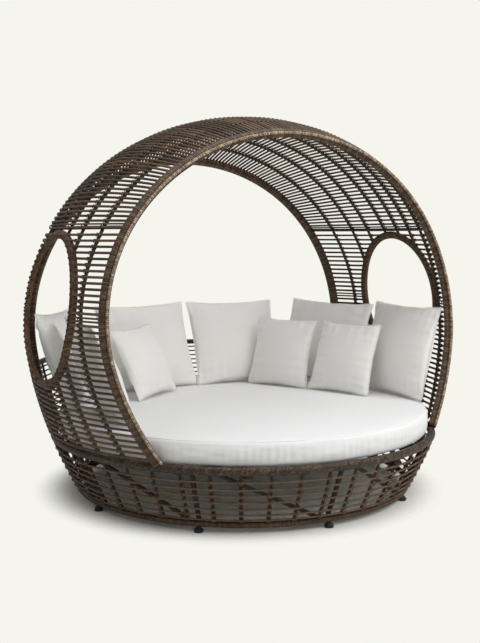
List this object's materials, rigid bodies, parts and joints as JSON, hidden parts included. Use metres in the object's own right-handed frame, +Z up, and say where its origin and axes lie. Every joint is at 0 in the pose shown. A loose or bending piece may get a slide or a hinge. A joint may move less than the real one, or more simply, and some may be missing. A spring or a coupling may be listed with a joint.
{
  "type": "outdoor daybed with canopy",
  "caption": "Round woven outdoor daybed with an arched open canopy, side windows, a round mattress and loose back cushions.",
  "frame": {"origin": "on the floor, under the middle of the outline seen from above", "axes": "+Z up, the open front towards -Y, +X to the right as seen from the front, along the widest line through the two side windows"},
  "size_m": [2.2592, 2.1612, 1.9617],
  "materials": {
    "wicker": "woven round synthetic strand, dark brown, satin",
    "wicker_light": "tightly wound synthetic strand, lighter brown, satin",
    "frame_paint": "dark brown powder coat, matte",
    "canvas": "off-white woven outdoor fabric, matte",
    "glide": "black, matte"
  },
  "bodies": {
    "daybed": {"front_arch": "wicker", "back_arch": "wicker", "front_bead": "wicker_light", "back_bead": "wicker", "left_window_ring": "wicker", "right_window_ring": "wicker", "canopy_ribs": "wicker", "canopy_crown": "wicker", "canopy_left_shoulder": "wicker", "canopy_left_front": "wicker", "canopy_left_back": "wicker", "canopy_left_lower": "wicker", "left_side_rib_1": "wicker", "left_side_rib_2": "wicker", "canopy_right_shoulder": "wicker", "canopy_right_front": "wicker", "canopy_right_back": "wicker", "canopy_right_lower": "wicker", "right_side_rib_1": "wicker", "right_side_rib_2": "wicker", "seat_ring": "wicker_light", "basket_cage": "wicker", "basket_ring_1": "wicker", "basket_ring_2": "wicker", "basket_ring_3": "wicker", "basket_ring_4": "wicker", "basket_ring_5": "wicker", "basket_ring_6": "wicker", "basket_ring_7": "wicker", "brace_1": "frame_paint", "brace_2": "frame_paint", "brace_3": "frame_paint", "brace_4": "frame_paint", "brace_5": "frame_paint", "brace_6": "frame_paint", "brace_7": "frame_paint", "brace_8": "frame_paint", "brace_9": "frame_paint", "deck_frame": "frame_paint", "back_rail": "wicker", "back_rows": "wicker", "mattress": "canvas"},
    "foot_1": {"foot_1": "glide"},
    "foot_2": {"foot_2": "glide"},
    "foot_3": {"foot_3": "glide"},
    "foot_4": {"foot_4": "glide"},
    "foot_5": {"foot_5": "glide"},
    "foot_6": {"foot_6": "glide"},
    "foot_7": {"foot_7": "glide"},
    "foot_8": {"foot_8": "glide"},
    "foot_9": {"foot_9": "glide"},
    "cushion_left_front": {"cushion_left_front": "canvas"},
    "cushion_left_back": {"cushion_left_back": "canvas"},
    "cushion_back_left": {"cushion_back_left": "canvas"},
    "cushion_back_right": {"cushion_back_right": "canvas"},
    "cushion_right_back": {"cushion_right_back": "canvas"},
    "cushion_right_front": {"cushion_right_front": "canvas"},
    "small_cushion_left": {"small_cushion_left": "canvas"},
    "small_cushion_middle": {"small_cushion_middle": "canvas"},
    "small_cushion_right": {"small_cushion_right": "canvas"}
  },
  "joints": [
    {"name": "level_foot_1", "type": "slide", "parent": "daybed", "child": "foot_1", "axis": [0, 0, -1], "range_m": [0, 0.012]},
    {"name": "level_foot_2", "type": "slide", "parent": "daybed", "child": "foot_2", "axis": [0, 0, -1], "range_m": [0, 0.012]},
    {"name": "level_foot_3", "type": "slide", "parent": "daybed", "child": "foot_3", "axis": [0, 0, -1], "range_m": [0, 0.012]},
    {"name": "level_foot_4", "type": "slide", "parent": "daybed", "child": "foot_4", "axis": [0, 0, -1], "range_m": [0, 0.012]},
    {"name": "level_foot_5", "type": "slide", "parent": "daybed", "child": "foot_5", "axis": [0, 0, -1], "range_m": [0, 0.012]},
    {"name": "level_foot_6", "type": "slide", "parent": "daybed", "child": "foot_6", "axis": [0, 0, -1], "range_m": [0, 0.012]},
    {"name": "level_foot_7", "type": "slide", "parent": "daybed", "child": "foot_7", "axis": [0, 0, -1], "range_m": [0, 0.012]},
    {"name": "level_foot_8", "type": "slide", "parent": "daybed", "child": "foot_8", "axis": [0, 0, -1], "range_m": [0, 0.012]},
    {"name": "level_foot_9", "type": "slide", "parent": "daybed", "child": "foot_9", "axis": [0, 0, -1], "range_m": [0, 0.012]},
    {"name": "lift_cushion_left_front", "type": "slide", "parent": "daybed", "child": "cushion_left_front", "axis": [0, 0, 1], "range_m": [0, 0.2]},
    {"name": "lift_cushion_left_back", "type": "slide", "parent": "daybed", "child": "cushion_left_back", "axis": [0.1309, 0.316, 0.9397], "range_m": [0, 0.2]},
    {"name": "lift_cushion_back_left", "type": "slide", "parent": "daybed", "child": "cushion_back_left", "axis": [0, 0.2419, 0.9703], "range_m": [0, 0.2]},
    {"name": "lift_cushion_back_right", "type": "slide", "parent": "daybed", "child": "cushion_back_right", "axis": [0.0984, 0.0984, 0.9903], "range_m": [0, 0.2]},
    {"name": "lift_cushion_right_back", "type": "slide", "parent": "daybed", "child": "cushion_right_back", "axis": [0.1392, 0, 0.9903], "range_m": [0, 0.2]},
    {"name": "lift_cushion_right_front", "type": "slide", "parent": "daybed", "child": "cushion_right_front", "axis": [-0.0533, 0.1286, 0.9903], "range_m": [0, 0.2]},
    {"name": "lift_small_cushion_left", "type": "slide", "parent": "daybed", "child": "small_cushion_left", "axis": [0, 0, 1], "range_m": [0, 0.2]},
    {"name": "lift_small_cushion_middle", "type": "slide", "parent": "daybed", "child": "small_cushion_middle", "axis": [0, 0, 1], "range_m": [0, 0.2]},
    {"name": "lift_small_cushion_right", "type": "slide", "parent": "daybed", "child": "small_cushion_right", "axis": [0.1392, 0, 0.9903], "range_m": [0, 0.2]}
  ]
}
